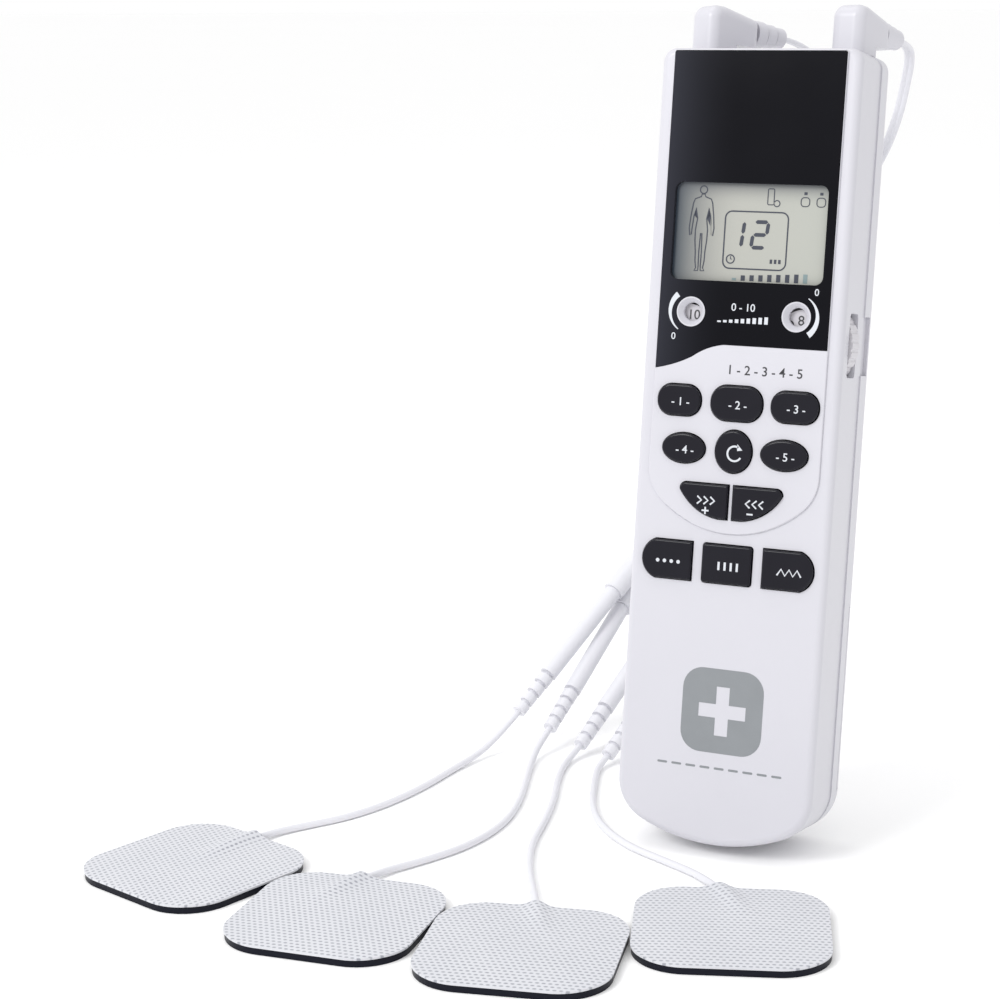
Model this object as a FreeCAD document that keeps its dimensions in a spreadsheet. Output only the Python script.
import FreeCAD, Part
import Sketcher
import math
import os

V = FreeCAD.Vector

doc = FreeCAD.newDocument("tens_unit")

# ---------------------------------------------------------------- driving dimensions (mm, degrees)

sheet = doc.addObject("Spreadsheet::Sheet", "Dimensions")
DIMENSIONS = {
    "case_width": 45.0, "case_length": 173.5, "front_face": 11.0, "rear_face": 11.5,
    "parting": -3.3, "shell_wall": 1.6, "top_corner": 3.0, "low_corner": 10.0, "low_arc": 40.0,
    "rear_proud": 0.3, "rear_rounding": 4.0, "front_rounding": 1.6, "lean_angle": 9.0,
    "plateau_width": 39.0, "plateau_height": 0.5, "plateau_low": 68.8,
    "lens_thick": 1.2, "lens_low": 104.0, "lens_step": 109.8,
    "window_width": 34.6, "window_height": 21.1, "window_centre": 134.0, "window_corner": 1.8,
    "dial_window": 6.7, "dial_window_x": 11.95, "dial_window_z": 116.55,
    "wheel_radius": 9.8, "wheel_rim": 5.0, "wheel_x": 13.5, "wheel_z": 111.1, "wheel_front": 6.3,
    "slot_front": 6.8, "slot_width": 6.0, "slot_length": 13.8,
    "key_proud": 0.9, "key_gap": 0.25, "key_flange": 0.45, "key_travel": 0.8,
    "board_thick": 1.6, "board_front": 0.4,
    "door_top": 53.7, "door_low": 6.4, "door_lip": -7.0, "door_wall": 1.5, "door_gap": 0.4,
    "hinge_y": 8.7, "hinge_z": 8.0, "hinge_pin": 0.8, "hinge_barrel": 1.4, "hinge_clear": 5.0,
    "cell_diameter": 10.5, "cell_length": 44.5, "cell_pitch": 11.0, "cell_y": 1.6,
    "plug_x": 16.0, "plug_y": 2.5, "plug_width": 7.6, "plug_top": 184.2,
    "lead_diameter": 2.4, "tail_diameter": 1.6,
    "sleeve_diameter": 5.6, "socket_diameter": 4.4, "socket_length": 43.0, "relief_length": 13.0,
    "pad_side": 40.0, "pad_corner": 10.8, "gel_thick": 1.4, "cloth_thick": 0.5,
}
for row, (name, value) in enumerate(DIMENSIONS.items(), start=1):
    sheet.set("A%d" % row, name)
    sheet.set("B%d" % row, "%g" % value)
    sheet.setAlias("B%d" % row, name)
doc.recompute()


def dim(name):
    """A driving dimension, read back from the sheet."""
    return float(sheet.get(name))


# ---------------------------------------------------------------- where the handset stands
# The handset is drawn upright, its face towards -Y, then leans back and rests on its rear lower edge.

LEAN = math.radians(dim("lean_angle"))
REST_HEIGHT = (dim("rear_rounding") * (1 - math.cos(LEAN))
               + (dim("rear_face") - dim("rear_rounding")) * math.sin(LEAN))
STANDING = FreeCAD.Placement(V(0, 0, REST_HEIGHT), FreeCAD.Rotation(V(1, 0, 0), -dim("lean_angle")))


# ---------------------------------------------------------------- sketches and features

def new_body(label, placement=None):
    body = doc.addObject("PartDesign::Body", label)
    body.Label = label
    if placement is not None:
        body.Placement = placement
    return body


def new_sketch(body, plane, offset):
    """A sketch on a base plane; a sketch on XZ lies `offset` in front of it, towards -Y."""
    sketch = body.newObject("Sketcher::SketchObject", "Outline")
    index = {"XY": 3, "XZ": 4, "YZ": 5}[plane]
    sketch.AttachmentSupport = [(body.Origin.OriginFeatures[index], "")]
    sketch.MapMode = "FlatFace"
    sketch.AttachmentOffset = FreeCAD.Placement(V(0, 0, offset), FreeCAD.Rotation())
    return sketch


def feature(body, kind, sketch, length, bind=None, reverse=False):
    """A Pad or a Pocket of the sketch; `bind` is an expression for its length."""
    made = body.newObject("PartDesign::" + kind, kind)
    made.Profile = sketch
    made.Length = length
    made.Reversed = reverse
    if bind:
        made.setExpression("Length", bind)
    sketch.Visibility = False
    doc.recompute()
    return made


def line(sketch, start, end):
    return sketch.addGeometry(Part.LineSegment(V(start[0], start[1], 0), V(end[0], end[1], 0)), False)


def arc(sketch, start, middle, end):
    shape = Part.Arc(V(start[0], start[1], 0), V(middle[0], middle[1], 0), V(end[0], end[1], 0))
    return sketch.addGeometry(shape, False)


def bind_distance(sketch, kind, arguments, value, expression):
    index = sketch.addConstraint(Sketcher.Constraint(kind, *arguments, value))
    if expression:
        sketch.setExpression("Constraints[%d]" % index, expression)
    return index


def rounded_rectangle(sketch, centre, width, height, corner, bind=(None, None, None)):
    """A rectangle with equal round corners; `bind` holds expressions for width, height and corner."""
    x0, x1 = centre[0] - width / 2, centre[0] + width / 2
    z0, z1 = centre[1] - height / 2, centre[1] + height / 2
    r = corner
    k = r * (1 - math.sqrt(0.5))
    bottom = line(sketch, (x0 + r, z0), (x1 - r, z0))
    low_right = arc(sketch, (x1 - r, z0), (x1 - k, z0 + k), (x1, z0 + r))
    right = line(sketch, (x1, z0 + r), (x1, z1 - r))
    top_right = arc(sketch, (x1, z1 - r), (x1 - k, z1 - k), (x1 - r, z1))
    top = line(sketch, (x1 - r, z1), (x0 + r, z1))
    top_left = arc(sketch, (x0 + r, z1), (x0 + k, z1 - k), (x0, z1 - r))
    left = line(sketch, (x0, z1 - r), (x0, z0 + r))
    low_left = arc(sketch, (x0, z0 + r), (x0 + k, z0 + k), (x0 + r, z0))
    for side, corner_arc in ((bottom, low_right), (right, top_right), (top, top_left), (left, low_left)):
        sketch.addConstraint(Sketcher.Constraint("Tangent", side, 2, corner_arc, 1))
    for corner_arc, side in ((low_right, right), (top_right, top), (top_left, left), (low_left, bottom)):
        sketch.addConstraint(Sketcher.Constraint("Tangent", corner_arc, 2, side, 1))
    sketch.addConstraint(Sketcher.Constraint("Horizontal", bottom))
    sketch.addConstraint(Sketcher.Constraint("Vertical", right))
    for corner_arc in (top_right, top_left, low_left):
        sketch.addConstraint(Sketcher.Constraint("Equal", low_right, corner_arc))
    bind_distance(sketch, "Radius", (low_right,), r, bind[2])
    bind_distance(sketch, "DistanceX", (left, 1, right, 1), width, bind[0])
    bind_distance(sketch, "DistanceY", (bottom, 1, top, 1), height, bind[1])
    sketch.addConstraint(Sketcher.Constraint("DistanceX", -1, 1, left, 1, x0))
    sketch.addConstraint(Sketcher.Constraint("DistanceY", -1, 1, bottom, 1, z0))


def circle(sketch, centre, radius, expression=None):
    index = sketch.addGeometry(Part.Circle(V(centre[0], centre[1], 0), V(0, 0, 1), radius), False)
    bind_distance(sketch, "Radius", (index,), radius, expression)
    sketch.addConstraint(Sketcher.Constraint("DistanceX", -1, 1, index, 3, centre[0]))
    sketch.addConstraint(Sketcher.Constraint("DistanceY", -1, 1, index, 3, centre[1]))


def case_outline(sketch, width, bottom, top, top_corner, low_corner, low_arc, bind=(None, None)):
    """Straight sides, a nearly square top end and a bottom end that is one wide arc between rounder corners."""
    half = width / 2
    reach = low_arc - low_corner
    across = half - low_corner
    drop = math.sqrt(reach ** 2 - across ** 2)
    corner_z = bottom + low_arc - drop
    touch = (low_arc * across / reach, bottom + low_arc - low_arc * drop / reach)
    turn = math.atan2(across, drop)
    mid_angle = (turn + math.pi / 2) / 2
    mid = (across + low_corner * math.sin(mid_angle), corner_z - low_corner * math.cos(mid_angle))
    k = top_corner * (1 - math.sqrt(0.5))
    base = arc(sketch, (-touch[0], touch[1]), (0, bottom), touch)
    low_right = arc(sketch, touch, mid, (half, corner_z))
    right = line(sketch, (half, corner_z), (half, top - top_corner))
    top_right = arc(sketch, (half, top - top_corner), (half - k, top - k), (half - top_corner, top))
    upper = line(sketch, (half - top_corner, top), (top_corner - half, top))
    top_left = arc(sketch, (top_corner - half, top), (k - half, top - k), (-half, top - top_corner))
    left = line(sketch, (-half, top - top_corner), (-half, corner_z))
    low_left = arc(sketch, (-half, corner_z), (-mid[0], mid[1]), (-touch[0], touch[1]))
    turns = [base, low_right, right, top_right, upper, top_left, left, low_left]
    for first, second in zip(turns, turns[1:] + turns[:1]):
        sketch.addConstraint(Sketcher.Constraint("Tangent", first, 2, second, 1))
    sketch.addConstraint(Sketcher.Constraint("Vertical", right))
    sketch.addConstraint(Sketcher.Constraint("Horizontal", upper))
    sketch.addConstraint(Sketcher.Constraint("Equal", top_right, top_left))
    sketch.addConstraint(Sketcher.Constraint("Equal", low_right, low_left))
    bind_distance(sketch, "Radius", (top_right,), top_corner, None)
    bind_distance(sketch, "Radius", (low_right,), low_corner, None)
    bind_distance(sketch, "Radius", (base,), low_arc, None)
    bind_distance(sketch, "DistanceX", (left, 1, right, 1), width, bind[0])
    sketch.addConstraint(Sketcher.Constraint("DistanceX", -1, 1, base, 3, 0))
    sketch.addConstraint(Sketcher.Constraint("DistanceY", -1, 1, base, 3, bottom + low_arc))
    bind_distance(sketch, "DistanceY", (-1, 1, upper, 1), top, bind[1])


def edges_where(shape, test):
    return ["Edge%d" % (i + 1) for i, edge in enumerate(shape.Edges) if test(edge)]


def round_edges(body, base, test, radius, bind=None):
    names = edges_where(base.Shape, test)
    made = body.newObject("PartDesign::Fillet", "Rounding")
    made.Base = (base, names)
    made.Radius = radius
    if bind:
        made.setExpression("Radius", bind)
    doc.recompute()
    return made


def flat_at(axis, value, margin=1e-3):
    """A test for edges that lie whole in one plane."""
    low, high = {"x": ("XMin", "XMax"), "y": ("YMin", "YMax"), "z": ("ZMin", "ZMax")}[axis]

    def test(edge):
        box = edge.BoundBox
        return abs(getattr(box, low) - value) < margin and abs(getattr(box, high) - value) < margin
    return test


def box_shape(x0, x1, y0, y1, z0, z1):
    return Part.makeBox(x1 - x0, y1 - y0, z1 - z0, V(x0, y0, z0))


def rod(start, end, radius):
    along = V(*end) - V(*start)
    return Part.makeCylinder(radius, along.Length, V(*start), along)


def shaped(label, shape, placement=None):
    """A piece whose shape is worked out in code."""
    made = doc.addObject("Part::Feature", label)
    made.Label = label
    made.Shape = shape.removeSplitter()
    if placement is not None:
        made.Placement = placement
    return made


# ---------------------------------------------------------------- keys: the one outline list for caps and holes

KEY_ROWS = {"first": 97.25, "second": 86.85, "speed": 75.75, "mode": 62.2}
SPEED_INNER = 0.57
SPEED_OUTER = 11.65
MODE_INNER = 8.15
MODE_OUTER = 19.6

KEYS = {
    "auto_key_left": ("stadium", -13.15, KEY_ROWS["first"], 9.9, 6.75),
    "auto_key_middle": ("stadium", 0.0, KEY_ROWS["first"], 11.7, 7.6),
    "auto_key_right": ("stadium", 13.15, KEY_ROWS["first"], 10.6, 6.75),
    "area_key_left": ("ellipse", -11.45, KEY_ROWS["second"], 9.8, 6.5),
    "repeat_key": ("ellipse", 0.0, KEY_ROWS["second"], 8.3, 9.2),
    "area_key_right": ("ellipse", 11.45, KEY_ROWS["second"], 10.5, 6.55),
    "faster_key": ("boat", -1, KEY_ROWS["speed"], SPEED_OUTER - SPEED_INNER, 7.4),
    "slower_key": ("boat", 1, KEY_ROWS["speed"], SPEED_OUTER - SPEED_INNER, 7.4),
    "mode_key_left": ("dee", -1, KEY_ROWS["mode"], MODE_OUTER - MODE_INNER, 8.45),
    "mode_key_middle": ("square", 0.0, KEY_ROWS["mode"], 11.2, 8.45),
    "mode_key_right": ("dee", 1, KEY_ROWS["mode"], MODE_OUTER - MODE_INNER, 8.45),
}


BOAT_TIP = 1.6


def boat_outline(sketch, side, centre_z, width, height, grow):
    """Straight top and inner edge, one sweeping curve from the outer tip to the inner foot."""
    inner = side * (SPEED_INNER - min(grow, 0.4))
    outer = side * (SPEED_INNER + width + grow)
    shoulder = side * (SPEED_INNER + width - BOAT_TIP)
    top = centre_z + height / 2 + grow
    low = centre_z - height / 2 - grow
    foot = side * (SPEED_INNER + 2.2)
    belly = (side * (SPEED_INNER + 0.68 * width + grow * 0.7), centre_z - 0.22 * height - grow * 0.7)
    tip = (outer, top - BOAT_TIP)
    crown = (shoulder + side * 0.74 * (BOAT_TIP + grow), top - 0.28 * BOAT_TIP)
    line(sketch, (inner, low), (inner, top))
    line(sketch, (inner, top), (shoulder, top))
    arc(sketch, (shoulder, top), crown, tip)
    arc(sketch, tip, belly, (foot, low))
    line(sketch, (foot, low), (inner, low))


def dee_outline(sketch, side, centre_z, width, height, grow):
    """A rectangle whose outer end is one arc."""
    inner = side * (MODE_INNER - grow)
    outer = side * (MODE_INNER + width + grow)
    shoulder = side * (MODE_INNER + width - 2.9)
    top = centre_z + height / 2 + grow
    low = centre_z - height / 2 - grow
    line(sketch, (inner, low), (inner, top))
    line(sketch, (inner, top), (shoulder, top))
    arc(sketch, (shoulder, top), (outer, centre_z), (shoulder, low))
    line(sketch, (shoulder, low), (inner, low))


def key_outline(sketch, name, grow=0.0):
    """The key's outline, grown evenly for its hole or its flange."""
    kind, x, z, width, height = KEYS[name]
    wide, tall = width + 2 * grow, height + 2 * grow
    if kind == "stadium":
        rounded_rectangle(sketch, (x, z), wide, tall, 0.47 * tall)
    elif kind == "square":
        rounded_rectangle(sketch, (x, z), wide, tall, 0.6 + grow)
    elif kind == "boat":
        boat_outline(sketch, x, z, width, height, grow)
    elif kind == "dee":
        dee_outline(sketch, x, z, width, height, grow)
    else:
        centre = V(x, z, 0)
        far = V(x + wide / 2, z, 0) if wide >= tall else V(x, z + tall / 2, 0)
        near = V(x, z + tall / 2, 0) if wide >= tall else V(x + wide / 2, z, 0)
        sketch.addGeometry(Part.Ellipse(far, near, centre), False)


# ---------------------------------------------------------------- shells

def lens_outline(sketch, half, top, low_left, low_right):
    """Straight sides and top; the lower edge drops in an S on the left."""
    mid_z = (low_left + low_right) / 2
    corner = 0.5
    k = corner * (1 - math.sqrt(0.5))
    crest = (-4.0, low_right)
    middle = (-11.0, mid_z)
    foot = (-half, low_left)
    line(sketch, (half, low_right), (half, top - corner))
    arc(sketch, (half, top - corner), (half - k, top - k), (half - corner, top))
    line(sketch, (half - corner, top), (corner - half, top))
    arc(sketch, (corner - half, top), (k - half, top - k), (-half, top - corner))
    line(sketch, (-half, top - corner), foot)
    arc(sketch, foot, (-15.6, low_left + 0.95), middle)
    arc(sketch, middle, (-7.0, low_right - 0.75), crest)
    line(sketch, crest, (half, low_right))


def make_front_shell():
    body = new_body("front_shell", STANDING)
    width, length, wall = dim("case_width"), dim("case_length"), dim("shell_wall")
    sketch = new_sketch(body, "XZ", dim("parting"))
    case_outline(sketch, width, 0, length, dim("top_corner"), dim("low_corner"), dim("low_arc"),
                 ("Dimensions.case_width", "Dimensions.case_length"))
    depth = dim("front_face") - dim("parting")
    block = feature(body, "Pad", sketch, depth, "Dimensions.front_face - Dimensions.parting")
    block = round_edges(body, block, flat_at("y", -dim("front_face")), dim("front_rounding"),
                        "Dimensions.front_rounding")
    raised = new_sketch(body, "XZ", dim("front_face") - 0.2)
    case_outline(raised, dim("plateau_width"), dim("plateau_low"), length - 0.35, 0.9, 10.0, 24.0,
                 ("Dimensions.plateau_width", None))
    plateau = feature(body, "Pad", raised, dim("plateau_height") + 0.2, "Dimensions.plateau_height + 0.2")
    plateau = round_edges(body, plateau, flat_at("y", -dim("front_face") - dim("plateau_height")), 0.3)
    hollow = new_sketch(body, "XZ", dim("front_face") + dim("plateau_height") - wall - 0.5)
    case_outline(hollow, width - 2 * wall, wall, length - wall, 1.6, dim("low_corner") - wall,
                 dim("low_arc") - wall)
    feature(body, "Pocket", hollow, 30)
    recess = new_sketch(body, "XZ", dim("front_face") + dim("plateau_height"))
    lens_outline(recess, dim("plateau_width") / 2 - 0.15, length - 0.65, dim("lens_low") - 0.1,
                 dim("lens_step") - 0.1)
    feature(body, "Pocket", recess, dim("lens_thick"), "Dimensions.lens_thick")
    window = new_sketch(body, "XZ", dim("front_face") + 1)
    rounded_rectangle(window, (0, dim("window_centre")), dim("window_width") + 2.0,
                      dim("window_height") + 2.6, 0.8)
    feature(body, "Pocket", window, 4)
    collars = new_sketch(body, "XZ", 10.2)
    for side in (-1, 1):
        circle(collars, (side * dim("dial_window_x"), dim("dial_window_z")), dim("dial_window") / 2 - 0.1)
    feature(body, "Pad", collars, 1.25)
    cones = new_sketch(body, "XZ", dim("front_face") + dim("plateau_height") - 0.05)
    for side in (-1, 1):
        circle(cones, (side * dim("dial_window_x"), dim("dial_window_z")), dim("dial_window") / 2 - 0.35)
    cone_cut = feature(body, "Pocket", cones, 1.2)
    cone_cut.TaperAngle = -40
    eyes = new_sketch(body, "XZ", dim("front_face") + 1)
    for side in (-1, 1):
        circle(eyes, (side * dim("dial_window_x"), dim("dial_window_z")), 2.0)
    feature(body, "Pocket", eyes, 4)
    bosses = new_sketch(body, "XZ", 1.1)
    for x, z in SCREWS:
        circle(bosses, (x, z), 2.2)
    feature(body, "Pad", bosses, 9.0)
    threads = new_sketch(body, "XZ", 7.0)
    for x, z in SCREWS:
        circle(threads, (x, z), 0.95)
    feature(body, "Pocket", threads, 7.0)
    for name in KEYS:
        hole = new_sketch(body, "XZ", dim("front_face") + 1)
        key_outline(hole, name, dim("key_gap"))
        feature(body, "Pocket", hole, 4)
    sockets = new_sketch(body, "XY", length + 1)
    for side in (-1, 1):
        circle(sockets, (side * dim("plug_x"), dim("plug_y")), 2.8)
    feature(body, "Pocket", sockets, 4)
    slots = new_sketch(body, "YZ", -30)
    centre = (-dim("slot_front") + dim("slot_width") / 2, dim("wheel_z"))
    rounded_rectangle(slots, centre, dim("slot_width"), dim("slot_length"), 1.0,
                      ("Dimensions.slot_width", "Dimensions.slot_length", None))
    feature(body, "Pocket", slots, 60, reverse=True)
    return body


def make_rear_form():
    """The whole rear half as one rounded block; the rear shell and the battery door are both cut from it."""
    body = new_body("rear_form")
    proud = dim("rear_proud")
    sketch = new_sketch(body, "XZ", -dim("rear_face"))
    case_outline(sketch, dim("case_width") + 2 * proud, 0, dim("case_length"), dim("top_corner"),
                 dim("low_corner"), dim("low_arc"))
    block = feature(body, "Pad", sketch, dim("rear_face") + dim("parting"),
                    "Dimensions.rear_face + Dimensions.parting")
    round_edges(body, block, flat_at("y", dim("rear_face")), dim("rear_rounding"),
                "Dimensions.rear_rounding")
    return body


def make_inside_form():
    """The room between the walls, which the battery tray keeps inside."""
    body = new_body("inside_form")
    inset = dim("shell_wall") + 0.1
    sketch = new_sketch(body, "XZ", -6.0)
    case_outline(sketch, dim("case_width") - 2 * inset, inset, dim("case_length") - inset, 1.6,
                 dim("low_corner") - inset, dim("low_arc") - inset)
    feature(body, "Pad", sketch, 14.0)
    return body


def door_zone(gap):
    """The space of the battery door: the skin of the lower back, two side lips and the hinged foot."""
    half = dim("case_width") / 2 + 2
    top = dim("door_top") - gap
    outside = dim("rear_face") + 1
    hinge = (dim("hinge_y"), dim("hinge_z"))
    skin = box_shape(-half, half, 9.6 - gap, outside, hinge[1], top)
    lips = box_shape(-half, half, -dim("door_lip") + gap, outside, hinge[1], top)
    swing = rod((-half - 1, *hinge), (half + 1, *hinge), dim("hinge_clear") + gap)
    foot = box_shape(gap - FOOT_HALF, FOOT_HALF - gap, 9.6 - gap, outside, dim("door_low") + gap, 20.0)
    return skin.fuse(lips).cut(swing).fuse(foot)


FOOT_HALF = 14.0


def make_rear_shell(form, inside):
    wall = 1.8
    half = dim("case_width") / 2 - wall
    top = dim("case_length") - wall
    floor_y = dim("rear_face") - wall
    start = -dim("parting") - 1
    shape = form.Shape.cut(box_shape(-half, half, start, floor_y, 55.2, top))
    shape = shape.cut(box_shape(-17.2, 17.2, start, floor_y + 5, 5.6, 54.0))
    shape = shape.cut(box_shape(-half, half, start, 5.4, 12.4, 54.0))
    shape = shape.cut(door_zone(0))
    hinge = (dim("hinge_y"), dim("hinge_z"))
    shape = shape.cut(rod((-FOOT_HALF, *hinge), (FOOT_HALF, *hinge), 3.4))
    ears = [rod((side * 8.3, *hinge), (side * 11.0, *hinge), 1.5) for side in (-1, 1)]
    webs = [box_shape(min(side * 8.3, side * 11.0), max(side * 8.3, side * 11.0), 7.1, 8.4, 4.2, 8.0)
            for side in (-1, 1)]
    for solid in ears + webs:
        shape = shape.fuse(solid)
    shape = shape.cut(rod((-12.5, *hinge), (12.5, *hinge), dim("hinge_pin") + 0.06))
    tray = box_shape(-18.4, 18.4, -5.2, 5.4, 4.6, 55.2).cut(box_shape(-17.2, 17.2, -4.0, 6, 5.6, 54.0))
    tray = tray.common(inside.Shape)
    shape = shape.fuse(tray)
    for side in (-1, 1):
        inner = (side * 18.0, side * (half + 0.4))
        shape = shape.fuse(box_shape(min(inner), max(inner), -dim("parting") + 0.3, 5.4, 30.0, 36.0))
    for x, z in SCREWS:
        shape = shape.fuse(rod((x, -1.0, z), (x, dim("rear_face") - 1.0, z), 2.6))
    for x, z in SCREWS:
        shape = shape.cut(rod((x, -2.0, z), (x, dim("rear_face") + 1, z), 1.2))
        shape = shape.cut(rod((x, 7.5, z), (x, dim("rear_face") + 1, z), 2.0))
    for side in (-1, 1):
        x = side * dim("plug_x")
        shape = shape.cut(rod((x, dim("plug_y"), 160), (x, dim("plug_y"), 180), 2.8))
        inner = (side * (half - 1), side * (half + 4))
        zone = box_shape(min(inner), max(inner), -dim("parting") - 1, 7.2, dim("wheel_z") - 6.4,
                         dim("wheel_z") + 6.4)
        shape = shape.cut(zone)
        shape = shape.fuse(box_shape(min(side * (half - 0.2), side * (half + 1.3)),
                                     max(side * (half - 0.2), side * (half + 1.3)),
                                     -dim("parting"), 8.0, dim("wheel_z") - 6.6, dim("wheel_z") + 6.6))
    return shaped("rear_shell", shape, STANDING)


def make_battery_door(form):
    wall = dim("door_wall")
    half = dim("case_width") / 2 + dim("rear_proud") - wall
    shape = form.Shape.common(door_zone(dim("door_gap") / 2))
    shape = shape.cut(box_shape(-half, half, 5, dim("rear_face") - wall, 5, dim("door_top") + 1))
    hinge = (dim("hinge_y"), dim("hinge_z"))
    barrel = rod((-8.0, *hinge), (8.0, *hinge), dim("hinge_barrel"))
    web = box_shape(-8.0, 8.0, hinge[0], dim("rear_face") - wall + 0.4, hinge[1] - 1.2, hinge[1] + 1.2)
    relief = [box_shape(min(side * 8.0, side * 11.4), max(side * 8.0, side * 11.4), 7.0,
                        dim("rear_face") - 1.0, 5.0, 10.4) for side in (-1, 1)]
    for solid in relief:
        shape = shape.cut(solid)
    pin = rod((-10.8, *hinge), (10.8, *hinge), dim("hinge_pin"))
    catch = box_shape(-4, 4, dim("rear_face") - wall - 1.4, dim("rear_face") - wall + 0.2,
                      dim("door_top") - 2.2, dim("door_top") - 0.7)
    shape = shape.fuse(barrel).fuse(web).fuse(pin).fuse(catch)
    return shaped("battery_door", shape, STANDING)


SCREWS = [(-16.4, 71.5), (16.4, 71.5), (-16.4, 152.5), (16.4, 152.5)]


def make_case_screws():
    screws = []
    for x, z in SCREWS:
        shank = rod((x, -6.0, z), (x, 7.4, z), 0.95)
        head = rod((x, 7.5, z), (x, 8.9, z), 1.8)
        cross = box_shape(x - 1.2, x + 1.2, 8.3, 9.5, z - 0.25, z + 0.25)
        other = box_shape(x - 0.25, x + 0.25, 8.3, 9.5, z - 1.2, z + 1.2)
        joint = rod((x, 7.3, z), (x, 7.6, z), 0.95)
        screws.append(shank.fuse(joint).fuse(head).cut(cross).cut(other))
    return shaped("case_screws", Part.makeCompound(screws), STANDING)


def make_lens_panel():
    body = new_body("lens_panel", STANDING)
    face = dim("front_face") + dim("plateau_height")
    sketch = new_sketch(body, "XZ", face - dim("lens_thick") + 0.02)
    lens_outline(sketch, dim("plateau_width") / 2 - 0.3, dim("case_length") - 0.8, dim("lens_low"),
                 dim("lens_step"))
    feature(body, "Pad", sketch, dim("lens_thick"), "Dimensions.lens_thick")
    openings = new_sketch(body, "XZ", face + 1)
    rounded_rectangle(openings, (0, dim("window_centre")), dim("window_width"), dim("window_height"),
                      dim("window_corner"),
                      ("Dimensions.window_width", "Dimensions.window_height", "Dimensions.window_corner"))
    for side in (-1, 1):
        circle(openings, (side * dim("dial_window_x"), dim("dial_window_z")), dim("dial_window") / 2,
               "Dimensions.dial_window / 2")
    feature(body, "Pocket", openings, 4)
    return body


# ---------------------------------------------------------------- electronics

def make_lcd_panel():
    body = new_body("lcd_panel", STANDING)
    sketch = new_sketch(body, "XZ", 8.25)
    rounded_rectangle(sketch, (0, dim("window_centre")), dim("window_width") + 1.6,
                      dim("window_height") + 2.2, 0.4)
    feature(body, "Pad", sketch, 2.0)
    return body


def make_lcd_frame():
    """A clip-in frame round the display with four legs down to the board."""
    wide, tall, z = dim("window_width") + 1.9, dim("window_height") + 2.5, dim("window_centre")
    outer = box_shape(-wide / 2 - 1, wide / 2 + 1, -9.2, -6.2, z - tall / 2 - 0.9, z + tall / 2 + 0.9)
    inner = box_shape(-wide / 2, wide / 2, -10, -8.2, z - tall / 2, z + tall / 2)
    opening = box_shape(-14, 14, -10, -5, z - 8, z + 8)
    shape = outer.cut(inner).cut(opening)
    for sx in (-1, 1):
        for sz in (-1, 1):
            x, leg_z = sx * (wide / 2 - 0.5), z + sz * (tall / 2 - 0.6)
            shape = shape.fuse(rod((x, -6.3, leg_z), (x, -dim("board_front"), leg_z), 1.0))
    return shaped("lcd_frame", shape, STANDING)


def make_main_board():
    body = new_body("main_board", STANDING)
    sketch = new_sketch(body, "XZ", dim("board_front") - dim("board_thick"))
    rounded_rectangle(sketch, (0, 111.5), 40.6, 108.0, 1.0)
    for x, z in SCREWS:
        circle(sketch, (x, z), 2.9)
    feature(body, "Pad", sketch, dim("board_thick"), "Dimensions.board_thick")
    return body


def make_keypad_sheet():
    """The silicone sheet: a web behind the keys with a plunger under each key."""
    sheet_shape = box_shape(-20.0, 20.0, -7.0, -6.2, 57.6, 100.8)
    for x, z in SCREWS[:2]:
        sheet_shape = sheet_shape.cut(rod((x, -8, z), (x, -5, z), 2.6))
    for x in (-19.4, 19.4):
        sheet_shape = sheet_shape.fuse(box_shape(x - 0.6, x + 0.6, -6.3, -dim("board_front"), 75.0, 100.0))
    for kind, x, z, width, height in KEYS.values():
        centre = x * {"boat": 6.4, "dee": 12.8}.get(kind, 1.0)
        sheet_shape = sheet_shape.fuse(rod((centre, -6.3, z), (centre, -dim("board_front") - 1.0, z), 1.5))
    return shaped("keypad_sheet", sheet_shape, STANDING)


def make_key(name):
    """A key cap that slides in its hole, kept in by a flange behind the wall."""
    body = new_body(name, STANDING)
    low_rows = name.startswith("mode")
    face = dim("front_face") + (0 if low_rows else dim("plateau_height"))
    cap = new_sketch(body, "XZ", 7.9)
    key_outline(cap, name)
    top = face + dim("key_proud")
    block = feature(body, "Pad", cap, top - 7.9)
    round_edges(body, block, flat_at("y", -top), 0.45)
    flange = new_sketch(body, "XZ", 7.9)
    key_outline(flange, name, dim("key_flange"))
    feature(body, "Pad", flange, 1.0)
    return body


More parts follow.
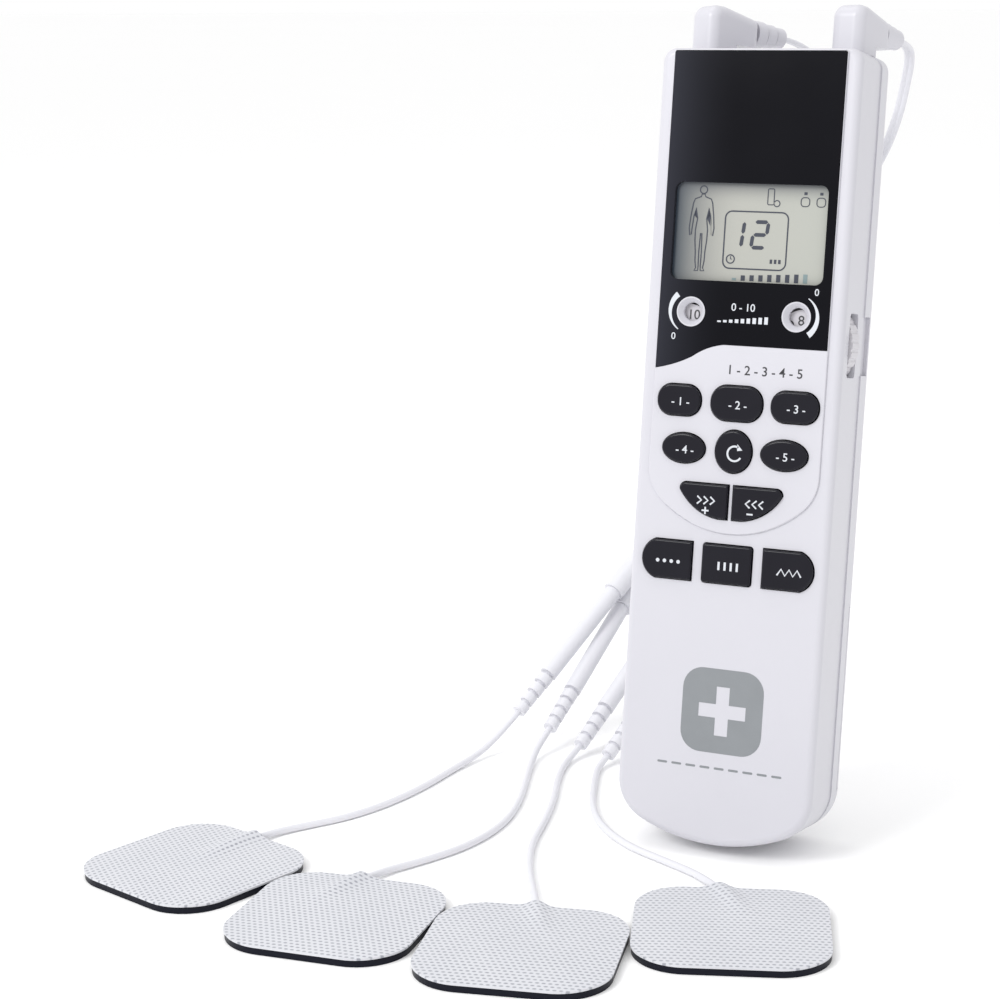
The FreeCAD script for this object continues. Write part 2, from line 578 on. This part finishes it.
def make_wheel(label, side):
    """An intensity wheel: serrated rim, raised number disc and the bore that turns the control's shaft."""
    x, z = side * dim("wheel_x"), dim("wheel_z")
    front, rim = -dim("wheel_front"), dim("wheel_rim")
    body = new_body(label, STANDING)
    sketch = new_sketch(body, "XZ", -front - rim)
    circle(sketch, (x, z), dim("wheel_radius"), "Dimensions.wheel_radius")
    feature(body, "Pad", sketch, rim, "Dimensions.wheel_rim")
    disc = new_sketch(body, "XZ", -front)
    circle(disc, (x, z), 7.2)
    feature(body, "Pad", disc, 2.6)
    bore = new_sketch(body, "XZ", 4.6)
    circle(bore, (x, z), 2.05)
    feature(body, "Pocket", bore, 6)
    notch = new_sketch(body, "XZ", -front)
    first = V(x, z + dim("wheel_radius") + 0.35, 0)
    circle(notch, (first.x, first.y), 0.6)
    cut = feature(body, "Pocket", notch, rim + 1)
    pattern = body.newObject("PartDesign::PolarPattern", "Serrations")
    axis_sketch = new_sketch(body, "XZ", 0)
    axis_sketch.addGeometry(Part.Circle(V(x, z, 0), V(0, 0, 1), 1.0), True)
    axis_sketch.AttachmentOffset = FreeCAD.Placement(V(x, z, 0), FreeCAD.Rotation())
    axis_sketch.delGeometry(0)
    axis_sketch.addGeometry(Part.LineSegment(V(0, 0, 0), V(1, 0, 0)), True)
    pattern.Originals = [cut]
    pattern.Axis = (axis_sketch, ["N_Axis"])
    pattern.Angle = 360
    pattern.Occurrences = 30
    body.Tip = pattern
    doc.recompute()
    return body


def make_pot(label, side):
    x, z = side * dim("wheel_x"), dim("wheel_z")
    can = rod((x, -1.0, z), (x, -dim("board_front"), z), 6.0)
    shaft = rod((x, -4.5, z), (x, -0.8, z), 2.0)
    return shaped(label, can.fuse(shaft), STANDING)


def make_jack(label, side):
    x, y = side * dim("plug_x"), dim("plug_y")
    top = dim("case_length")
    block = box_shape(x - 3.4, x + 3.4, y - 1.2, y + 4.6, 158.0, 170.4)
    nose = rod((x, y, 170.3), (x, y, top - 0.3), 2.6)
    bore = rod((x, y, 159.0), (x, y, top + 1), 1.3)
    return shaped(label, block.fuse(nose).cut(bore), STANDING)


def make_transformer():
    core = box_shape(-7.5, 7.5, 1.3, 2.6, 124, 138).fuse(box_shape(-7.5, 7.5, 6.6, 7.9, 124, 138))
    for x in (-7.5, 5.9):
        core = core.fuse(box_shape(x, x + 1.6, 1.3, 7.9, 124, 138))
    winding = box_shape(-5.6, 5.6, 1.3, 6.8, 125.5, 136.5)
    return shaped("transformer", core.fuse(winding), STANDING)


def make_control_chip():
    body = box_shape(-5, 5, 1.5, 3.0, 84, 94)
    for i in range(8):
        z = 84.8 + 1.17 * i
        for side in (-1, 1):
            legs = (side * 4.9, side * 6.6)
            body = body.fuse(box_shape(min(legs), max(legs), 1.25, 1.75, z, z + 0.5))
    return shaped("control_chip", body, STANDING)


def make_buzzer():
    can = rod((-10, 1.25, 103), (-10, 5.6, 103), 5.5).cut(rod((-10, 5.2, 103), (-10, 6.0, 103), 0.9))
    return shaped("buzzer", can, STANDING)


def cell_centres():
    return [(i - 1) * dim("cell_pitch") for i in range(3)]


def make_battery_cells():
    y, low = dim("cell_y"), 7.6
    cells = []
    for index, x in enumerate(cell_centres()):
        can = rod((x, y, low), (x, y, low + dim("cell_length") - 1.0), dim("cell_diameter") / 2)
        up = index % 2 == 0
        tip_z = low + dim("cell_length") - 1.1 if up else low - 0.9
        cells.append(can.fuse(rod((x, y, tip_z), (x, y, tip_z + 1.0), 1.9)))
    return shaped("battery_cells", Part.makeCompound(cells), STANDING)


def make_battery_contacts():
    """Flat contacts at both ends of the compartment, with a coil spring's outer form at each minus end."""
    y = dim("cell_y")
    plates = []
    for index, x in enumerate(cell_centres()):
        minus_low = index % 2 == 0
        low = box_shape(x - 4, x + 4, y - 3.4, y + 3.4, 5.7, 6.1)
        high = box_shape(x - 4, x + 4, y - 3.4, y + 3.4, 53.5, 53.9)
        if minus_low:
            low = low.fuse(Part.makeCone(3.0, 1.8, 1.4, V(x, y, 6.0), V(0, 0, 1)))
        else:
            high = high.fuse(Part.makeCone(3.0, 1.8, 1.6, V(x, y, 53.6), V(0, 0, -1)))
        plates += [low, high]
    return shaped("battery_contacts", Part.makeCompound(plates), STANDING)


# ---------------------------------------------------------------- cords

def cord_path(points):
    """Straight runs joined by tangent arcs, each arc as large as its two runs allow."""
    points = [V(*p) for p in points]
    runs = [(b - a).Length for a, b in zip(points, points[1:])]
    edges = []
    radii = []
    at = points[0]
    for i in range(1, len(points) - 1):
        before = (points[i] - points[i - 1]).normalize()
        after = (points[i + 1] - points[i]).normalize()
        turn = before.getAngle(after)
        cut = 0.45 * min(runs[i - 1], runs[i])
        radius = cut / math.tan(turn / 2)
        start, end = points[i] - before * cut, points[i] + after * cut
        inward = (after - before).normalize()
        middle = points[i] + inward * (radius / math.cos(turn / 2) - radius)
        edges.append(Part.LineSegment(at, start).toShape())
        edges.append(Part.Arc(start, middle, end).toShape())
        at = end
        radii.append(radius)
    edges.append(Part.LineSegment(at, points[-1]).toShape())
    return Part.Wire(edges), radii


def make_cord(label, points, diameter):
    """A plain tube along the route; prints what the route's turns and volume are."""
    path, radii = cord_path(points)
    start = V(*points[0])
    section = Part.Wire(Part.makeCircle(diameter / 2, start, V(*points[1]) - start))
    tube = path.makePipeShell([section], True, False)
    expected = math.pi * diameter ** 2 / 4 * path.Length
    print("%s length %.1f least radius %.1f (%.1f diameters) volume/expected %.3f"
          % (label, path.Length, min(radii), min(radii) / diameter, tube.Volume / expected))
    return shaped(label, tube)


def make_coil(label, centre, low):
    """The outer shape of a put-away coil of the lead."""
    ring = rod((*centre, low), (*centre, low + COIL_HEIGHT), COIL_OUTER / 2)
    return shaped(label, ring.cut(rod((*centre, low - 1), (*centre, low + COIL_HEIGHT + 1), COIL_INNER / 2)))


COIL_OUTER = 34.0
COIL_INNER = 19.6
COIL_HEIGHT = 7.2
COIL_CENTRE = (-31.0, 98.0)
COIL_LOW = {"left": 0.0, "right": COIL_HEIGHT + 0.1}


def cross_edge(body, y, z):
    """The edge of the body that runs across it at the given height and depth."""
    return [e for e in body.Edges if e.BoundBox.YLength < 0.01 and e.BoundBox.ZLength < 0.01
            and abs(e.BoundBox.YMin - y) < 0.01 and abs(e.BoundBox.ZMin - z) < 0.01]


def make_elbow(half, low, top):
    """The moulded head of a right-angle plug: upright in front, its top sloping on into a broad arm."""
    reach, under, slope_end = 11.0, top - 8.2, top - 2.0
    outline = [(-half, low), (-half, top), (0.8, top), (reach, slope_end), (reach, under), (half, under)]
    outline.append((half, low))
    points = [V(-half, y, z) for y, z in outline]
    body = Part.Face(Part.makePolygon(points + points[:1])).extrude(V(2 * half, 0, 0))
    body = body.makeFillet(2.8, cross_edge(body, -half, top))
    body = body.makeFillet(1.6, cross_edge(body, reach, slope_end))
    sides = [e for e in body.Edges if e.BoundBox.XLength < 0.01 and e.BoundBox.ZMax > under + 0.1]
    return body.makeFillet(2.3, sides)


def make_plug(label, side, turn_degrees):
    """A right-angle plug: elbow-shaped head, a ringed relief behind it and the pin in the jack."""
    half = dim("plug_width") / 2
    low, top = dim("case_length") + 0.1, dim("plug_top")
    arm_z = top - 4.6
    shape = make_elbow(half, low, top)
    for ring in range(3):
        start = 10.9 + 3.2 * ring
        shape = shape.fuse(rod((0, start - 0.1, arm_z), (0, start + 0.6, arm_z), 1.9))
        shape = shape.fuse(rod((0, start + 0.45, arm_z), (0, start + 3.2, arm_z), 3.0 - 0.35 * ring))
    pin = rod((0, 0, 160.5), (0, 0, low + 0.5), 1.25)
    shape = shape.fuse(pin)
    turned = FreeCAD.Placement(V(side * dim("plug_x"), dim("plug_y"), 0),
                               FreeCAD.Rotation(V(0, 0, 1), -turn_degrees))
    piece = shaped(label, shape, STANDING.multiply(turned))
    return piece


def plug_exit(side, turn_degrees):
    """Where the lead leaves the plug's arm, and the way it leaves."""
    turned = FreeCAD.Placement(V(side * dim("plug_x"), dim("plug_y"), 0),
                               FreeCAD.Rotation(V(0, 0, 1), -turn_degrees))
    frame = STANDING.multiply(turned)
    return frame.multVec(V(0, 20.7, dim("plug_top") - 4.6)), frame.Rotation.multVec(V(0, 1, 0))


PLUG_TURN = {"left": 27.0, "right": 10.0}
LEAVE = {"left": 9.0, "right": 5.5}

# each pair of cords beyond the plug: over the back, down behind the handset and into its coil
TRUNK_ROUTES = {
    "left": [(1.0, 66.0, 163.0), (1.0, 70.5, 146.0), (-1.0, 70.0, 118.0), (-2.5, 71.0, 90.0),
             (-3.2, 74.0, 62.0), (-2.8, 79.5, 40.0), (-3.2, 83.2, 26.0), (-3.0, 84.6, 13.85),
             (-6.7, 84.6, 7.35), (-13.25, 84.6, 3.6), (-20.6, 84.6, 3.6)],
    "right": [(20.6, 60.6, 171.4), (18.9, 63.0, 164.9), (17.2, 63.2, 157.2), (14.4, 62.6, 149.2),
              (8.3, 61.5, 138.5), (2.0, 64.0, 119.0), (-4.0, 67.0, 97.0), (-10.0, 69.0, 74.0),
              (-15.0, 69.5, 52.0), (-17.4, 69.6, 35.0), (-17.6, 69.8, 21.15),
              (-17.6, 73.5, 14.65), (-17.6, 80.05, 10.9), (-17.6, 87.4, 10.9)],
}

# connector axis: the lower end of each ribbed relief, and the direction up along the connector
CONNECTORS = [
    ((-70.3, 42.0, 8.9), (0.28, 0.78, 0.57)),
    ((-61.7, 42.0, 5.7), (0.10, 0.84, 0.52)),
    ((-52.5, 40.0, 3.1), (0.16, 0.84, 0.51)),
    ((-43.8, 37.0, 2.6), (0.21, 0.82, 0.53)),
]

# each tail beyond its pin sleeve: over and down to the splitter beside the coil
TAIL_ROUTES = [
    [(-49.0, 114.0, 53.0), (-49.5, 126.0, 46.0), (-48.5, 135.0, 33.0), (-46.0, 138.5, 18.0),
     (-44.2, 135.0, 6.5), (-43.5, 126.0, 1.5), (-43.5, 117.7, 1.5)],
    [(-54.0, 116.0, 46.5), (-55.0, 127.0, 40.0), (-54.5, 133.0, 28.0), (-51.5, 134.5, 15.0),
     (-48.0, 130.5, 5.0), (-45.3, 124.5, 1.5), (-45.3, 117.7, 1.5)],
    [(-38.0, 111.5, 43.8), (-34.5, 120.5, 41.5), (-30.0, 128.5, 35.5), (-25.5, 133.5, 26.0),
     (-21.5, 133.0, 15.5), (-18.5, 126.5, 9.4), (-18.5, 117.7, 9.2)],
    [(-26.0, 107.5, 44.8), (-24.0, 116.5, 42.5), (-21.5, 124.5, 36.5), (-19.0, 129.5, 28.0),
     (-17.2, 130.5, 18.5), (-16.7, 125.8, 10.4), (-16.7, 117.7, 9.2)],
]

SPLITTERS = {
    "left": ((-44.4, 108.6, 1.95), (0.0, 1.0, 0.0)),
    "right": ((-17.6, 108.6, 9.2), (0.0, 1.0, 0.0)),
}

PADS = [
    ((-99.5, -63.2), 73.7),
    ((-57.6, -74.8), 6.5),
    ((-16.2, -73.5), 13.0),
    ((18.5, -47.7), 19.2),
]

# each pigtail beyond its socket: down to the table, across it and in under the pad's cloth
PIGTAIL_ROUTES = [
    [(-72.2, 36.4, 5.2), (-74.6, 28.5, 1.5), (-76.4, 17.0, 0.85), (-77.0, 4.0, 0.85),
     (-79.3, -10.0, 0.85), (-83.8, -22.5, 0.85), (-90.3, -31.7, 0.85), (-94.8, -39.5, 1.1),
     (-97.0, -48.0, 1.6)],
    [(-62.5, 36.1, 2.4), (-60.2, 27.0, 0.9), (-56.8, 17.0, 0.85), (-52.0, 3.0, 0.85),
     (-49.0, -12.0, 0.85), (-50.4, -27.0, 0.85), (-55.4, -39.0, 0.85), (-61.0, -49.5, 1.1),
     (-62.8, -58.0, 1.6)],
    [(-53.2, 36.4, 1.4), (-52.8, 30.5, 0.85), (-49.9, 20.0, 0.85), (-45.0, 7.0, 0.85),
     (-41.2, -7.0, 0.85), (-38.4, -20.0, 0.85), (-33.3, -33.0, 0.85), (-27.0, -44.5, 1.0),
     (-21.3, -55.0, 1.6)],
    [(-44.5, 34.2, 1.2), (-43.5, 29.0, 0.85), (-40.3, 20.0, 0.85), (-35.8, 8.0, 0.85),
     (-29.3, -3.0, 0.85), (-19.0, -12.7, 0.85), (-7.0, -18.2, 0.85), (4.0, -23.5, 0.85),
     (11.0, -31.5, 1.6)],
]


def pigtail_route(index):
    return [tuple(connector_point(index, 0))] + PIGTAIL_ROUTES[index]


def tail_route(index):
    leave = dim("socket_length") + SLEEVE_LENGTH
    return [tuple(connector_point(index, leave)), tuple(connector_point(index, leave + 7.0))] \
        + TAIL_ROUTES[index]


def make_splitter(label, start, along):
    """The moulding where a pair of cords parts into two tails."""
    a = V(*start)
    d = V(*along).normalize()
    body = Part.makeCylinder(1.9, 9.0, a, d)
    return shaped(label, body.makeFillet(0.7, body.Edges[:1] + body.Edges[2:3]))


SLEEVE_LENGTH = 26.0


def connector_point(index, distance):
    end, along = CONNECTORS[index]
    return V(*end) + V(*along).normalize() * distance


def make_socket(index):
    """A pigtail's socket: four-ringed relief, then a plain barrel that takes the pin."""
    end, along = CONNECTORS[index]
    d = V(*along).normalize()
    radius = dim("socket_diameter") / 2
    relief, length = dim("relief_length"), dim("socket_length")
    shape = Part.makeCylinder(1.15, relief + 1, V(*end), d)
    pitch = relief / 4
    for ring in range(4):
        size = (1.75, 1.8, 1.9, 2.0)[ring]
        shape = shape.fuse(Part.makeCylinder(size, pitch - 0.9, V(*end) + d * (pitch * ring), d))
    barrel = Part.makeCylinder(radius, length - relief, V(*end) + d * relief, d)
    return shaped("socket_%d" % (index + 1), shape.fuse(barrel))


def make_pin_sleeve(index):
    """The pin connector pushed on the socket."""
    end, along = CONNECTORS[index]
    d = V(*along).normalize()
    start = V(*end) + d * (dim("socket_length") + 0.05)
    taper = 8.0
    straight = SLEEVE_LENGTH - taper - 0.05
    shape = Part.makeCylinder(dim("sleeve_diameter") / 2, straight, start, d)
    shape = shape.fuse(Part.makeCone(dim("sleeve_diameter") / 2, 1.5, taper, start + d * straight, d))
    return shaped("pin_sleeve_%d" % (index + 1), shape)


def pad_frame(index):
    (x, y), angle = PADS[index]
    return FreeCAD.Placement(V(x, y, 0), FreeCAD.Rotation(V(0, 0, 1), angle))


def make_pad_cloth(index):
    body = new_body("pad_cloth_%d" % (index + 1), pad_frame(index))
    sketch = new_sketch(body, "XY", dim("gel_thick"))
    rounded_rectangle(sketch, (0, 0), dim("pad_side"), dim("pad_side"), dim("pad_corner"),
                      ("Dimensions.pad_side", "Dimensions.pad_side", "Dimensions.pad_corner"))
    feature(body, "Pad", sketch, dim("cloth_thick"), "Dimensions.cloth_thick")
    return body


def make_pad_gels():
    """The four soft black contact sheets under the cloths."""
    gels = []
    for index in range(len(PADS)):
        half, thick = dim("pad_side") / 2 - 0.15, dim("gel_thick")
        slab = Part.makeBox(2 * half, 2 * half, thick, V(-half, -half, 0))
        uprights = [e for e in slab.Edges if abs(e.BoundBox.ZLength - thick) < 1e-6]
        slab = slab.makeFillet(dim("pad_corner"), uprights)
        slab.Placement = pad_frame(index)
        gels.append(slab)
    return shaped("pad_gels", Part.makeCompound(gels))


def make_leads():
    made = []
    for name, side in (("left", -1), ("right", 1)):
        start, way = plug_exit(side, PLUG_TURN[name])
        route = [tuple(start), tuple(start + way * LEAVE[name])] + TRUNK_ROUTES[name]
        made.append(make_cord("trunk_cord_" + name, route, dim("lead_diameter")))
        made.append(make_coil("coil_" + name, COIL_CENTRE, COIL_LOW[name]))
        made.append(make_splitter("splitter_" + name, *SPLITTERS[name]))
    for index in range(4):
        made += [make_socket(index), make_pin_sleeve(index), make_pad_cloth(index)]
        made.append(make_cord("pigtail_%d" % (index + 1), pigtail_route(index), dim("tail_diameter")))
        made.append(make_cord("tail_%d" % (index + 1), tail_route(index), dim("tail_diameter")))
    made.append(make_pad_gels())
    return made


# ---------------------------------------------------------------- the assembly
front_shell = make_front_shell()
rear_form = make_rear_form()
pieces = [front_shell, make_rear_shell(rear_form, make_inside_form())]
pieces += [make_battery_door(rear_form), make_case_screws()]
pieces += [make_lens_panel(), make_lcd_panel(), make_lcd_frame(), make_main_board(), make_keypad_sheet()]
pieces += [make_key(name) for name in KEYS]
for name, side in (("left", -1), ("right", 1)):
    pieces.append(make_wheel("wheel_" + name, side))
    pieces.append(make_pot("pot_" + name, side))
    pieces.append(make_jack("jack_" + name, side))
    pieces.append(make_plug("plug_" + name, side, PLUG_TURN[name]))
pieces += [make_transformer(), make_control_chip(), make_buzzer()]
pieces += [make_battery_cells(), make_battery_contacts()]
pieces += make_leads()

doc.recompute()
os.makedirs("parts", exist_ok=True)
for piece in pieces:
    if not piece.Shape.isValid():
        print("invalid shape", piece.Label)
    piece.Shape.exportStep("parts/%s.step" % piece.Label)
for item in doc.Objects:
    if "Invalid" in item.State or "Error" in item.State:
        print("state", item.Label, item.State)
print(len(pieces), "pieces")
